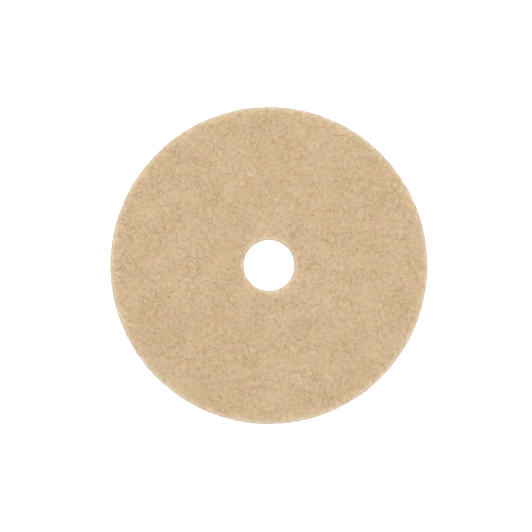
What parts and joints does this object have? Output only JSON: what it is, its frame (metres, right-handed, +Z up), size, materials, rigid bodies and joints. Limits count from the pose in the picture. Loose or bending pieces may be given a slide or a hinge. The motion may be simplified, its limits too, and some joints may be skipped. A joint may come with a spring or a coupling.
{
  "type": "floor polishing pad",
  "caption": "Round, thick polishing pad of tan nonwoven natural-blend fibre with a centre hole, laid up from bonded fibre webs and used either side up under a rotary floor machine.",
  "frame": {"origin": "centre of the hole, on the plane of the lower face", "axes": "+Z up along the spin axis, from the lower face to the upper face; X and Y lie in the lower face and are alike, because the pad is round"},
  "size_m": [0.508, 0.508, 0.0254],
  "materials": {
    "face_fibre": "matte",
    "core_fibre": "matte"
  },
  "bodies": {
    "root": {"bottom_face_web": "face_fibre", "core_lap_1": "core_fibre", "core_lap_2": "core_fibre", "core_lap_3": "core_fibre", "core_lap_4": "core_fibre", "core_lap_5": "core_fibre", "core_lap_6": "core_fibre", "top_face_web": "face_fibre"}
  },
  "joints": []
}
